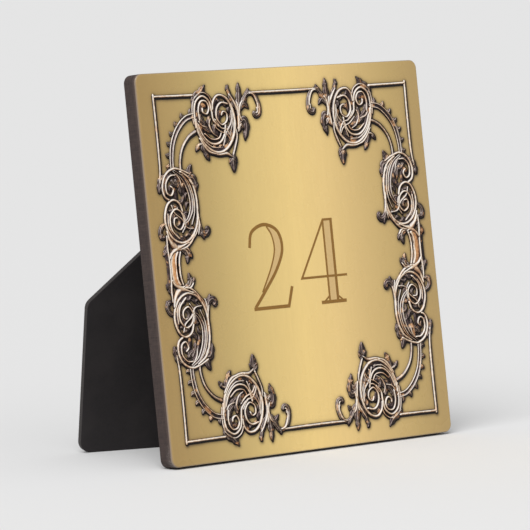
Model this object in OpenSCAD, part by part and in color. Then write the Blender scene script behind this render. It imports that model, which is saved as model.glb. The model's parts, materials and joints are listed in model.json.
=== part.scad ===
// Free-standing table number plaque: a printed square hardboard panel that leans back on a flat easel leg.
// The leg is hinged along a 45 degree line behind the panel, so that the panel stands on either of two sides.
// Frame: origin on the table under the middle of the object's box, +X to the viewer's right, +Y to the back, +Z up.

/* [Panel] */
// Width and height of the square panel
panel_w = 133.35; // [100:0.05:180]
// Whole thickness of the panel, coating included
panel_t = 6.35; // [5:0.05:10]
// Thickness of the glossy printed coating on the front
coat_t = 0.35; // [0.2:0.05:0.6]
// Radius of the panel's four corners
panel_corner_r = 3; // [1:0.5:10]
// How far the panel leans back from upright, in degrees
lean = 7.7; // [6:0.01:11]

/* [Easel leg] */
// Distance from the leg's square tip to the hinge pin
leg_len = 124; // [110:1:130]
// Length of each of the two edges that meet at the tip
leg_edge = 53; // [40:1:60]
// How much each long side closes in towards the hinge, in degrees
leg_taper = 4.25; // [0:0.25:6]
// Thickness of the leg's hardboard core
leg_core_t = 1.9; // [1.5:0.1:3]
// Thickness of the black paper on each face of the leg
paper_t = 0.25; // [0.2:0.05:0.4]
// Radius of the leg's corners
leg_corner_r = 4; // [1:0.5:6]

/* [Hinge] */
// Length of the hinge along its pin
hinge_w = 40; // [36:1:60]
// Thickness of each steel leaf
leaf_t = 0.8; // [0.5:0.1:1]
// How far each leaf reaches from the pin
leaf_reach = 17; // [15:1:20]
// Radius of the hinge pin
pin_r = 0.8; // [0.7:0.05:0.85]
// Number of knuckles, of which the panel's leaf has one more than the leg's leaf
knuckles = 5; // [3:2:7]
// Number of screws, and of rivets
fasteners = 3; // [2:1:4]

/* [Hidden] */

board_t = panel_t - coat_t;
leg_t = leg_core_t + 2 * paper_t;
panel_corner_steps = 16;
small_corner_steps = 10;

// Hinge section: the knuckles stand just clear of the board, and the leg's face lies just outside them.
knuckle_r = 1.6;
knuckle_gap = 0.2;
board_clearance = 0.1;
leg_clearance = 0.15;
// The pin is held in the panel's knuckles, and the leg's knuckles turn on it.
pin_held_fit = 0.01;
pin_turning_fit = 0.05;
pin_y = knuckle_r + board_clearance;
leg_face_y = knuckle_r + leg_clearance;
leaf_notch = knuckle_r + 0.4;
leaf_corner_r = 3;
pin_head_r = 1.4;
pin_head_t = 0.6;
pin_head_gap = 0.1;

// The leg's lower edge lies flat on the table when tan(open / 2) is sqrt(2) tan(lean).
open_angle = 2 * atan(sqrt(2) * tan(lean));
// The heel is the end of the leg past the pin. It comes down on the panel's leaf and stops the leg there.
heel_clearance = 0.05;
heel = (pin_y + leg_face_y * cos(open_angle) - leaf_t - heel_clearance) / sin(open_angle);
// Height of the folded leg's lower edge over the panel's lower edge
leg_lift = tan(lean) * (pin_y + leg_face_y * cos(open_angle)) - leg_face_y * sin(open_angle) / sqrt(2);
// Distance of the pin from the panel's left edge, and from its lower edge
pin_from_edge = leg_lift + leg_len / sqrt(2);

// Depth of the object's box: the panel's front lower edge, and the leg's rounded tip on its far face
tip_rise = sin(open_angle) * cos(lean) - cos(open_angle) * sin(lean) / sqrt(2);
edge_rise = sin(lean) / sqrt(2);
face_rise = cos(open_angle) * cos(lean) + sin(open_angle) * sin(lean) / sqrt(2);
front_y = -panel_t * cos(lean);
back_y = pin_y * cos(lean) + pin_from_edge * sin(lean) + (leg_len - leg_corner_r * sqrt(2)) * tip_rise
    + leg_corner_r * norm([tip_rise, edge_rise]) + (leg_face_y + leg_t) * face_rise;
middle_y = (front_y + back_y) / 2;

// Screws and rivets
screw_r = 1.2;
screw_len = 5;
screw_head_r = 2.4;
screw_head_t = 1.3;
screw_z = 12;
recess_w = 0.7;
recess_t = 0.8;
rivet_r = 1.5;
rivet_head_r = 3.1;
rivet_head_t = 1.2;
rivet_clinch_r = 2.4;
rivet_clinch_t = 0.6;
rivet_z = -11;
fastener_span = 27;
fit = 0.03;
round_fn = 48;
// How far pieces that are joined reach into each other, and how far a cut runs past what it cuts
e = 0.01;
past = 1;

edge_brown = [0.30, 0.25, 0.23];
gold = [0.86, 0.74, 0.48];
steel = [0.72, 0.70, 0.66];
leg_brown = [0.24, 0.21, 0.20];
leg_black = [0.09, 0.08, 0.08];

// Unit vector from a to b
function toward(a, b) = (b - a) / norm(b - a);

// The arc that rounds corner b, between its neighbours a and c
function corner_arc(a, b, c, r, steps) =
    let (to_a = toward(b, a), to_c = toward(b, c), half = acos(to_a * to_c) / 2,
         mid = b + (to_a + to_c) / norm(to_a + to_c) * r / sin(half),
         from = b + to_a * r / tan(half) - mid, turn = 180 - 2 * half,
         way = cross(to_a, to_c) > 0 ? -1 : 1)
    [for (i = [0:steps]) let (t = way * turn * i / steps)
        mid + [from.x * cos(t) - from.y * sin(t), from.x * sin(t) + from.y * cos(t)]];

// A convex outline with corner i rounded to radii[i]; a radius of 0 leaves it sharp
function rounded(points, radii, steps) =
    let (n = len(points))
    [for (i = [0:n - 1]) each radii[i] == 0 ? [points[i]]
        : corner_arc(points[(i + n - 1) % n], points[i], points[(i + 1) % n], radii[i], steps)];

// The panel's frame: origin in the middle of its lower back edge, +Y out of its back, +Z up along it
module panel_frame() {
    translate([0, -middle_y, 0]) rotate([-lean, 0, 0]) children();
}

// The hinge's frame: +X along the pin, +Y out of the panel's back, +Z away from the leg's tip
module hinge_frame() {
    panel_frame()
        translate([pin_from_edge - panel_w / 2, pin_y, pin_from_edge]) rotate([0, 45, 0]) children();
}

// The leg's frame is the hinge's frame, turned by the angle at which the leg stands open.
module leg_frame() {
    hinge_frame() rotate([open_angle, 0, 0]) children();
}

// Draws a flat outline in X and Z, and makes it from y = from to y = from + t.
module slab(from, t) {
    translate([0, from + t, 0]) rotate([90, 0, 0]) linear_extrude(t) children();
}

module at_fasteners(z) {
    for (i = [0:fasteners - 1])
        translate([fastener_span * (i / (fasteners - 1) - 0.5), 0, z]) children();
}

// A round bar along Y, from y = from to y = to
module bar_y(r, from, to) {
    translate([0, to, 0]) rotate([90, 0, 0]) cylinder(r = r, h = to - from, $fn = round_fn);
}

module panel_outline() {
    w = panel_w / 2;
    polygon(rounded([[-w, 0], [w, 0], [w, panel_w], [-w, panel_w]],
                    [for (i = [0:3]) panel_corner_r], panel_corner_steps));
}

module panel_board() {
    color(edge_brown) difference() {
        panel_frame() slab(-board_t, board_t) panel_outline();
        hinge_frame() at_fasteners(screw_z)
            bar_y(screw_r + fit, leaf_t - pin_y - screw_len - fit, e);
    }
}

module printed_coating() {
    color(gold) panel_frame() slab(-panel_t, coat_t) panel_outline();
}

// The plate of a leaf, from the pin outwards along +Z, with its two outer corners rounded
module leaf_plate(from_y, hole_r, hole_z) {
    w = hinge_w / 2;
    difference() {
        slab(from_y, leaf_t)
            polygon(rounded([[-w, 0], [w, 0], [w, leaf_reach], [-w, leaf_reach]],
                            [0, 0, leaf_corner_r, leaf_corner_r], small_corner_steps));
        at_fasteners(hole_z) bar_y(hole_r + fit, from_y - past, from_y + leaf_t + past);
    }
}

// Every second knuckle, beginning with number first: children() are cut to the knuckle's own length
module each_knuckle(first, slack) {
    pitch = hinge_w / knuckles;
    for (i = [first:2:knuckles - 1])
        translate([(i - knuckles / 2) * pitch - slack / 2, 0, 0]) rotate([90, 0, 90])
            linear_extrude(pitch + slack) children();
}

// A leaf with its own knuckles, cut away where the other leaf's knuckles turn
module leaf(first, from_y, hole_r, hole_z, bore_r) {
    difference() {
        union() {
            leaf_plate(from_y, hole_r, hole_z);
            each_knuckle(first, -knuckle_gap) circle(knuckle_r, $fn = round_fn);
        }
        each_knuckle(1 - first, knuckle_gap) translate([-leaf_notch, -leaf_notch]) square(2 * leaf_notch);
        translate([-hinge_w, 0, 0]) rotate([0, 90, 0])
            cylinder(r = bore_r, h = 2 * hinge_w, $fn = round_fn);
    }
}

module panel_hinge_leaf() {
    color(steel) hinge_frame() leaf(0, -pin_y, screw_r, screw_z, pin_r + pin_held_fit);
}

module leg_hinge_leaf() {
    color(steel) leg_frame() mirror([0, 0, 1])
        leaf(1, leg_face_y - leaf_t, rivet_r, -rivet_z, pin_r + pin_turning_fit);
}

module hinge_pin() {
    half = hinge_w / 2 + pin_head_gap;
    color(steel) hinge_frame() rotate([0, 90, 0]) union() {
        translate([0, 0, -half - e]) cylinder(r = pin_r, h = 2 * (half + e), $fn = round_fn);
        for (side = [0, 1]) mirror([0, 0, side]) translate([0, 0, half])
            rotate_extrude($fn = round_fn)
                polygon([[0, 0], [pin_head_r, 0], [pin_head_r, pin_head_t / 2],
                         [pin_head_r - pin_head_t / 2, pin_head_t], [0, pin_head_t]]);
    }
}

// A low round head: half of its outline is an arc from the rim to the middle
module dome(r, h) {
    ball = (r * r + h * h) / (2 * h);
    sweep = asin(r / ball);
    steps = 8;
    rotate_extrude($fn = round_fn)
        polygon(concat([[0, 0]], [for (i = [0:steps]) let (t = sweep * (1 - i / steps))
            [i == steps ? 0 : ball * sin(t), ball * cos(t) - ball + h]]));
}

module screw() {
    top = leaf_t - pin_y;
    difference() {
        union() {
            bar_y(screw_r, top - screw_len, top + e);
            translate([0, top, 0]) rotate([-90, 0, 0]) dome(screw_head_r, screw_head_t);
        }
        for (turn = [0, 90]) rotate([0, turn, 0])
            translate([-screw_r, top + screw_head_t - recess_t, -recess_w / 2])
                cube([2 * screw_r, recess_t + past, recess_w]);
    }
}

module panel_leaf_screws() {
    color(steel) hinge_frame() at_fasteners(screw_z) screw();
}

// The leg's outline in the hinge's frame, folded flat: a square tip below, two tapering sides, and the heel
module leg_outline() {
    half_w = leg_edge / sqrt(2);
    heel_half_w = half_w - (leg_len - half_w + heel) * tan(leg_taper);
    polygon(rounded([[0, -leg_len], [half_w, half_w - leg_len], [heel_half_w, heel],
                     [-heel_half_w, heel], [-half_w, half_w - leg_len]],
                    [leg_corner_r, leg_corner_r, leg_corner_r, leg_corner_r, leg_corner_r],
                    small_corner_steps));
}

// One layer of the leg, with the rivets' holes
module leg_layer(from, t) {
    leg_frame() difference() {
        slab(leg_face_y + from, t) leg_outline();
        at_fasteners(rivet_z) bar_y(rivet_r + fit, leg_face_y - past, leg_face_y + leg_t + past);
    }
}

module leg_front_paper() {
    color(leg_black) leg_layer(0, paper_t);
}

module leg_core() {
    color(leg_brown) leg_layer(paper_t, leg_core_t);
}

module leg_back_paper() {
    color(leg_black) leg_layer(paper_t + leg_core_t, paper_t);
}

// A rivet is clinched over the leaf in front, and has its domed head on the leg's back.
module rivet() {
    front = leg_face_y - leaf_t;
    back = leg_face_y + leg_t;
    union() {
        bar_y(rivet_r, front - e, back + e);
        translate([0, back, 0]) rotate([-90, 0, 0]) dome(rivet_head_r, rivet_head_t);
        translate([0, front, 0]) rotate([90, 0, 0]) dome(rivet_clinch_r, rivet_clinch_t);
    }
}

module leg_rivets() {
    color(steel) leg_frame() at_fasteners(rivet_z) rivet();
}

panel_board();
printed_coating();
panel_hinge_leaf();
hinge_pin();
panel_leaf_screws();
leg_hinge_leaf();
leg_core();
leg_front_paper();
leg_back_paper();
leg_rivets();
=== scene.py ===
"""Looks of a table number plaque: a gold printed panel with scrollwork, standing on a black easel leg."""
import json
import math

import bmesh
import bpy
import numpy as np
from mathutils import Matrix, Vector


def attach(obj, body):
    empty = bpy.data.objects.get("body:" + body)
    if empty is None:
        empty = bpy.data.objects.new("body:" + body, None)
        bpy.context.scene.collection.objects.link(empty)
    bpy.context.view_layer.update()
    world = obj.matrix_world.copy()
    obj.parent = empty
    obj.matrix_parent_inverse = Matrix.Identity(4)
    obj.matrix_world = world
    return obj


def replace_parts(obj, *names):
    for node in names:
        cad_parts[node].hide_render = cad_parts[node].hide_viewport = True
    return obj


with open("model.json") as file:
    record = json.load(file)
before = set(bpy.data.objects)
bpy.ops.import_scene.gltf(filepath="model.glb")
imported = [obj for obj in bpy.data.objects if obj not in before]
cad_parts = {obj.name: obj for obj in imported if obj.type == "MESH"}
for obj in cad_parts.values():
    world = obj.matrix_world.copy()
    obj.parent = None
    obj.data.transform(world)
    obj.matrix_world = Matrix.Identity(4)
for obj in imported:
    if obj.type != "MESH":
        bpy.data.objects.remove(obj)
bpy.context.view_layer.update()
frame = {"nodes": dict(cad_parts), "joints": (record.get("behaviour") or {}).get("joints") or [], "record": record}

scene = bpy.context.scene

MM = 0.001
UP = Vector((0, 0, 1))
RIGHT = Vector((1, 0, 0))


# ---------------- places, from the frame

def mount(name):
    """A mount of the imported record: its place and its direction."""
    found = next(m for m in frame["record"]["mounts"] if m["name"] == name)
    return Vector(found["pos_m"]), Vector(found["axis"])


def axes_matrix(origin, x, y, z):
    """The frame with that origin and those axes, as a matrix."""
    matrix = Matrix((x, y, z)).transposed().to_4x4()
    matrix.translation = origin
    return matrix


def local_bounds(node, matrix):
    """Lowest and highest corner of a CAD node in a frame of its own, in metres."""
    inverse = matrix.inverted()
    points = [inverse @ v.co for v in frame["nodes"][node].data.vertices]
    low = Vector([min(p[i] for p in points) for i in range(3)])
    high = Vector([max(p[i] for p in points) for i in range(3)])
    return low, high


# The panel's frame: +X to the right, +Y out of its back, +Z up along it. Its origin is the middle of the
# back face's lower edge.
edge_middle, edge_out = mount("lower_edge")
panel_up = -edge_out
panel_back = panel_up.cross(RIGHT)
lean = math.atan2(panel_up.y, panel_up.z)
at_edge = axes_matrix(edge_middle, RIGHT, panel_back, panel_up)
board_low, board_high = local_bounds("panel_board", at_edge)
PANEL = axes_matrix(edge_middle + panel_back * board_high.y, RIGHT, panel_back, panel_up)
board_low, board_high = local_bounds("panel_board", PANEL)
face_y = local_bounds("printed_coating", PANEL)[0].y
panel_w = board_high.x - board_low.x
# The radius of the panel's corners, as on panel_board
panel_corner = 3 * MM

# The leg's frame: +X along the hinge pin, +Y out of the leg's back, +Z away from the leg's tip.
leg_joint = frame["joints"][0]
pin_along = -Vector(leg_joint["axis"])
open_angle = 2 * math.atan(math.sqrt(2) * math.tan(lean))
leg_back = Matrix.Rotation(open_angle, 3, pin_along) @ panel_back
LEG = axes_matrix(Vector(leg_joint["pos_m"]), pin_along, leg_back, pin_along.cross(leg_back))


# ---------------- shader helpers

def rgb(red, green, blue):
    """A display colour, 0 to 255, as the linear colour that shaders take."""
    shares = [c / 255 for c in (red, green, blue)]
    linear = [s / 12.92 if s <= 0.04045 else ((s + 0.055) / 1.055) ** 2.4 for s in shares]
    return (*linear, 1)


def new_material(name):
    """A material with a Principled shader: its node tree, and that shader."""
    made = bpy.data.materials.new(name)
    made.use_nodes = True
    return made, made.node_tree, made.node_tree.nodes["Principled BSDF"]


def add(tree, kind, inputs=(), **settings):
    """A shader node, with its settings, and its inputs linked or set."""
    node = tree.nodes.new("ShaderNode" + kind)
    for name, value in settings.items():
        setattr(node, name, value)
    for name, value in dict(inputs).items():
        if isinstance(value, bpy.types.NodeSocket):
            tree.links.new(value, node.inputs[name])
        else:
            node.inputs[name].default_value = value
    return node


def math_node(tree, operation, *values):
    return add(tree, "Math", enumerate(values), operation=operation).outputs[0]


def ramp(tree, factor, stops):
    """A colour ramp: stops are pairs of a place from 0 to 1 and a display colour."""
    node = add(tree, "ValToRGB", {0: factor})
    elements = node.color_ramp.elements
    while len(elements) < len(stops):
        elements.new(0.5)
    for element, (place, colour) in zip(elements, stops):
        element.position = place
        element.color = rgb(*colour)
    return node.outputs[0]


def mix(tree, factor, a, b, blend="MIX"):
    node = add(tree, "Mix", {0: factor, 6: a, 7: b}, data_type="RGBA", blend_type=blend)
    return node.outputs[2]


def coordinates(tree, matrix, scale=(1, 1, 1)):
    """Places on the piece in millimetres, in that frame, times scale."""
    inverse = matrix.inverted()
    here = add(tree, "TexCoord").outputs["Object"]
    turned = add(tree, "Mapping", {0: here, 1: inverse.translation, 2: inverse.to_euler()})
    stretch = [s / MM for s in scale]
    return add(tree, "VectorMath", {0: turned.outputs[0], 1: stretch}, operation="MULTIPLY").outputs[0]


def noise(tree, place, scale, detail=3, roughness=0.55):
    inputs = {"Vector": place, "Scale": scale, "Detail": detail, "Roughness": roughness}
    return add(tree, "TexNoise", inputs).outputs["Fac"]


def map_range(tree, value, low, high, to_low=0.0, to_high=1.0):
    return add(tree, "MapRange", {0: value, 1: low, 2: high, 3: to_low, 4: to_high}).outputs[0]


def bump(tree, shader, height, strength, distance):
    inputs = {"Height": height, "Strength": strength, "Distance": distance}
    tree.links.new(add(tree, "Bump", inputs).outputs[0], shader.inputs["Normal"])


def link(tree, output, shader, name):
    tree.links.new(output, shader.inputs[name])


# ---------------- materials

# Across the face, from its left edge to its right: place from 0 to 1, and the print's gold there
GOLD_BANDS = [
    (0.02, (173, 143, 88)), (0.12, (186, 157, 99)), (0.22, (201, 174, 111)), (0.34, (227, 198, 128)),
    (0.50, (247, 215, 140)), (0.62, (242, 209, 139)), (0.72, (225, 193, 128)), (0.88, (199, 170, 109)),
    (0.98, (185, 156, 101)),
]


def gold_print():
    """Glossy coating, printed gold with a lighter middle, and the scrollwork's printed shadow."""
    made, tree, shader = new_material("gold_print")
    place = coordinates(tree, PANEL)
    across = add(tree, "SeparateXYZ", {0: place}).outputs[0]
    half = panel_w / 2 / MM
    drift = map_range(tree, noise(tree, coordinates(tree, PANEL, (0.05, 0.05, 0.01)), 1.0), 0, 1, -1.5, 1.5)
    gold = ramp(tree, map_range(tree, math_node(tree, "ADD", across, drift), -half, half), GOLD_BANDS)
    grain = noise(tree, coordinates(tree, PANEL, (1.2, 1.2, 0.12)), 1.0, 4)
    gold = mix(tree, map_range(tree, grain, 0.3, 0.7, 0.0, 0.10), gold, rgb(196, 166, 104))
    shadow = add(tree, "Attribute", attribute_name="print_shadow").outputs["Fac"]
    gold = mix(tree, shadow, gold, rgb(52, 36, 22))
    # The rolled edge turns greyish brown, lightened by painted floor bounce and a painted highlight.
    wrap_and_bounce = add(tree, "Attribute", attribute_name="wrap_and_bounce").outputs["Fac"]
    link(tree, mix(tree, wrap_and_bounce, gold, rgb(140, 124, 110)), shader, "Base Color")
    haze = noise(tree, place, 0.09, 2)
    link(tree, map_range(tree, haze, 0.3, 0.7, 0.24, 0.34), shader, "Roughness")
    bump(tree, shader, noise(tree, place, 0.8, 2), 0.05, 0.02 * MM)
    shader.inputs["IOR"].default_value = 1.45
    shader.inputs["Coat Weight"].default_value = 0.25
    shader.inputs["Coat Roughness"].default_value = 0.12
    return made


# The light that is printed into the scrollwork, in the panel's frame: from the upper left, well off the face
PRINTED_LIGHT = Vector((-0.50, -0.72, 0.48)).normalized()
BRIGHT_METAL = [
    (0.00, (22, 15, 15)), (0.40, (44, 31, 28)), (0.56, (102, 74, 58)), (0.66, (168, 134, 106)),
    (0.74, (222, 196, 166)), (0.83, (250, 239, 224)), (1.00, (255, 251, 244)),
]
DARK_METAL = [
    (0.00, (14, 9, 10)), (0.50, (22, 15, 17)), (0.70, (38, 28, 31)), (0.80, (66, 51, 54)),
    (0.90, (124, 104, 102)), (1.00, (176, 156, 150)),
]
COPPER = [
    (0.00, (22, 14, 12)), (0.42, (54, 33, 24)), (0.62, (146, 94, 60)), (0.76, (222, 166, 114)),
    (1.00, (250, 216, 176)),
]
INK = (20, 13, 12)


def printed_scrollwork():
    """Bronze scrollwork. Its light and dark are printed: they follow the relief's own slopes.

    The attribute tone says which metal: -1 ink, 0 dark metal, 1 bright metal, 2 copper.
    """
    made, tree, shader = new_material("printed_scrollwork")
    normal = add(tree, "TexCoord").outputs["Normal"]
    light = PANEL.to_3x3() @ PRINTED_LIGHT
    facing = add(tree, "VectorMath", {0: normal, 1: light}, operation="DOT_PRODUCT").outputs["Value"]
    place = coordinates(tree, PANEL)
    ripple = map_range(tree, noise(tree, place, 1.1, 3), 0.3, 0.7, -0.06, 0.06)
    facing = math_node(tree, "ADD", facing, ripple)
    tone = add(tree, "Attribute", attribute_name="tone").outputs["Fac"]
    dark = ramp(tree, facing, DARK_METAL)
    copper = ramp(tree, facing, COPPER)
    glow = map_range(tree, noise(tree, place, 0.30, 2), 0.55, 0.64, 0.0, 0.85)
    dark = mix(tree, glow, dark, copper)
    bright = ramp(tree, facing, BRIGHT_METAL)
    patch = map_range(tree, noise(tree, place, 0.17, 2), 0.57, 0.68, 0.0, 0.45)
    bright = mix(tree, patch, bright, copper)
    metal = mix(tree, map_range(tree, tone, 0, 1), dark, bright)
    metal = mix(tree, map_range(tree, tone, 1, 2), metal, copper)
    ink = map_range(tree, tone, -0.5, -1)
    link(tree, mix(tree, ink, metal, rgb(*INK)), shader, "Base Color")
    shader.inputs["Roughness"].default_value = 0.32
    shader.inputs["Specular IOR Level"].default_value = 0.15
    return made


def printed_lettering(name, dark, light):
    """Brown printed ink, a little uneven."""
    made, tree, shader = new_material(name)
    place = coordinates(tree, PANEL)
    link(tree, mix(tree, noise(tree, place, 1.3, 3), rgb(*dark), rgb(*light)), shader, "Base Color")
    shader.inputs["Roughness"].default_value = 0.30
    shader.inputs["Specular IOR Level"].default_value = 0.25
    return made


def hardboard(name, matrix, dark, light, front=None):
    """Pressed fibres in thin layers, and fine cut marks across the edges.

    front is a place along Y, in metres, and the colour that the edges take there. Near the table, towards
    the front, they turn paler grey in flecks.
    """
    made, tree, shader = new_material(name)
    layers = noise(tree, coordinates(tree, matrix, (0.3, 2.4, 0.3)), 1.0, 5, 0.6)
    cuts = noise(tree, coordinates(tree, matrix, (2.2, 0.22, 2.2)), 1.0, 4, 0.7)
    flecks = noise(tree, coordinates(tree, matrix, (2.6, 2.6, 2.6)), 1.0, 4, 0.75)
    both = math_node(tree, "MULTIPLY", math_node(tree, "ADD", layers, cuts), 0.5)
    colour = mix(tree, map_range(tree, both, 0.38, 0.62), rgb(*dark), rgb(*light))
    fleck = map_range(tree, flecks, 0.62, 0.76, 0.0, 0.5)
    colour = mix(tree, fleck, colour, rgb(*[min(255, c + 40) for c in light]))
    if front:
        front_y, front_colour = front[0] / MM, front[1]
        place = add(tree, "SeparateXYZ", {0: coordinates(tree, matrix)}).outputs
        near = map_range(tree, place[1], front_y + 1.6, front_y, 0.0, 0.7)
        colour = mix(tree, near, colour, rgb(*front_colour))
        # Near the table and towards the front, the edges turn paler grey in flecks.
        low = map_range(tree, place[2], 9, 2)
        forward = map_range(tree, place[1], front_y + 3, front_y + 1)
        pale_low_flecks = math_node(tree, "MULTIPLY", map_range(tree, flecks, 0.45, 0.62), low)
        pale_low_flecks = math_node(tree, "MULTIPLY", pale_low_flecks, forward)
        colour = mix(tree, math_node(tree, "MULTIPLY", pale_low_flecks, 0.45), colour, rgb(176, 168, 162))
    link(tree, colour, shader, "Base Color")
    link(tree, map_range(tree, both, 0.3, 0.7, 0.62, 0.82), shader, "Roughness")
    bump(tree, shader, math_node(tree, "ADD", both, flecks), 0.5, 0.05 * MM)
    shader.inputs["Specular IOR Level"].default_value = 0.35
    return made


def black_paper():
    """Matt black paper with faint fibres and cloudy wear."""
    made, tree, shader = new_material("black_paper")
    place = coordinates(tree, LEG)
    fibres = noise(tree, coordinates(tree, LEG, (2.2, 2.2, 0.9)), 1.0, 5, 0.7)
    clouds = noise(tree, place, 0.07, 3)
    colour = mix(tree, map_range(tree, fibres, 0.35, 0.70), rgb(30, 27, 28), rgb(43, 39, 40))
    colour = mix(tree, map_range(tree, clouds, 0.45, 0.70, 0.0, 0.5), colour, rgb(50, 46, 46))
    link(tree, colour, shader, "Base Color")
    link(tree, map_range(tree, fibres, 0.3, 0.7, 0.70, 0.88), shader, "Roughness")
    bump(tree, shader, fibres, 0.4, 0.03 * MM)
    shader.inputs["Specular IOR Level"].default_value = 0.3
    shader.inputs["Sheen Weight"].default_value = 0.08
    return made


def plated_steel(name, tint, dull, matrix):
    """Zinc-plated sheet or wire, with fine lines along X and cloudy spots."""
    made, tree, shader = new_material(name)
    drawn = noise(tree, coordinates(tree, matrix, (0.15, 6.0, 6.0)), 1.0, 4)
    spangle = add(tree, "TexVoronoi", {"Vector": coordinates(tree, matrix), "Scale": 0.55}).outputs["Color"]
    spots = add(tree, "SeparateXYZ", {0: spangle}).outputs[0]
    link(tree, mix(tree, spots, rgb(*dull), rgb(*tint)), shader, "Base Color")
    shine = math_node(tree, "ADD", math_node(tree, "MULTIPLY", drawn, 0.18), 0.26)
    link(tree, math_node(tree, "ADD", shine, math_node(tree, "MULTIPLY", spots, 0.08)), shader, "Roughness")
    bump(tree, shader, drawn, 0.25, 0.02 * MM)
    shader.inputs["Metallic"].default_value = 1.0
    return made


def painted_black():
    """Black enamel on the rivets, worn a little brighter on top."""
    made, tree, shader = new_material("black_enamel")
    place = coordinates(tree, LEG)
    chips = map_range(tree, noise(tree, place, 1.8, 4), 0.64, 0.74, 0.0, 0.6)
    link(tree, mix(tree, chips, rgb(27, 26, 27), rgb(62, 59, 57)), shader, "Base Color")
    link(tree, map_range(tree, noise(tree, place, 0.7), 0.3, 0.7, 0.28, 0.42), shader, "Roughness")
    shader.inputs["Coat Weight"].default_value = 0.3
    return made


# ---------------- mesh helpers

def ridden(name, mesh, material, body):
    """A mesh as a piece that rides on a body and takes that material."""
    mesh.materials.append(material)
    piece = bpy.data.objects.new(name, mesh)
    scene.collection.objects.link(piece)
    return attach(piece, body)


def new_piece(name, points, faces, material, body, flat=(), attributes=()):
    """A piece made of points and faces, shaded smooth, but for its flat faces, given by their numbers."""
    mesh = bpy.data.meshes.new(name)
    mesh.from_pydata(points, [], faces)
    for attribute, values in dict(attributes).items():
        layer = mesh.attributes.new(attribute, "FLOAT", "POINT")
        layer.data.foreach_set("value", np.asarray(values, np.float32))
    smooth = np.ones(len(faces), bool)
    smooth[list(flat)] = False
    mesh.polygons.foreach_set("use_smooth", smooth)
    mesh.validate()
    return ridden(name, mesh, material, body)


def to_world(points, matrix):
    """Rows of points in a frame, as rows of points in the row's frame."""
    rotation = np.array(matrix.to_3x3())
    return np.asarray(points) @ rotation.T + np.array(matrix.translation)


def rounded_outline(inset, steps=14):
    """The panel's outline, in metres from its middle, drawn in by inset: one arc for each corner."""
    radius = panel_corner - inset
    reach = panel_w / 2 - panel_corner
    angles = [math.pi / 2 * i / steps for i in range(steps + 1)]
    corners = [(reach, reach, 0), (-reach, reach, 1), (-reach, -reach, 2), (reach, -reach, 3)]
    return [
        (x + radius * math.cos(a + turn * math.pi / 2), z + radius * math.sin(a + turn * math.pi / 2))
        for x, z, turn in corners
        for a in angles
    ]


def loft(loops):
    """A closed skin over loops of equal length, with a flat face at each end: points and faces."""
    count = len(loops[0])
    points = [p for loop in loops for p in loop]
    faces = [
        (r * count + i, r * count + (i + 1) % count, (r + 1) * count + (i + 1) % count, (r + 1) * count + i)
        for r in range(len(loops) - 1)
        for i in range(count)
    ]
    last = (len(loops) - 1) * count
    faces.append(tuple(reversed(range(count))))
    faces.append(tuple(range(last, last + count)))
    return points, faces


def quarter_round(radius, steps=4):
    """Pairs (inset, depth) round an eased edge: from the flat face, where depth is 0, to the side."""
    turns = [math.pi / 2 * i / steps for i in range(steps + 1)]
    return [(radius * (1 - math.sin(a)), radius * (1 - math.cos(a))) for a in turns]


# ---------------- the panel

board_ease = 0.5 * MM
coating_ease = 0.55 * MM
coating_back = 0.7 * MM
rim_sharp = math.radians(35)


def panel_board():
    """The hardboard, with its back edge eased; its front is hidden by the coating."""
    back = [(inset, board_high.y - depth) for inset, depth in quarter_round(board_ease)]
    profile = [*back, (0, face_y + coating_back)]
    middle = panel_w / 2
    loops = [[(x, y, z + middle) for x, z in rounded_outline(inset)] for inset, y in profile]
    points, faces = loft(loops)
    faces = [tuple(reversed(f)) for f in faces]
    material = hardboard("hardboard", PANEL, (50, 40, 38), (75, 62, 58), (board_low.y, (104, 88, 80)))
    piece = new_piece("hardboard_panel", to_world(points, PANEL), faces, material, "plaque")
    piece.data.set_sharp_from_angle(angle=rim_sharp)
    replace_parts(piece, "panel_board")


FACE_CELLS = 296
# Where the grid's lines start to bend towards the rounded corners, as a share of the way out from the middle
BEND_FROM = 0.9


def outline_reach(x, z, half, radius):
    """How far out the rounded outline lies towards each (x, z), as a share of the square's own reach."""
    inner = half - radius
    u, v = abs(x), abs(z)
    scale = half / np.maximum(np.maximum(u, v), 1e-9)
    u, v = u * scale, v * scale
    # Towards a corner, the ray meets the arc of that radius round (inner, inner).
    square = np.maximum(u * u + v * v, half * half)
    along = inner * (u + v) / square
    gap = 2 * inner * inner - along * along * square
    arc = along + np.sqrt(np.maximum(radius * radius - gap, 0) / square)
    return np.where(np.minimum(u, v) <= inner, 1, arc)


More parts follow.
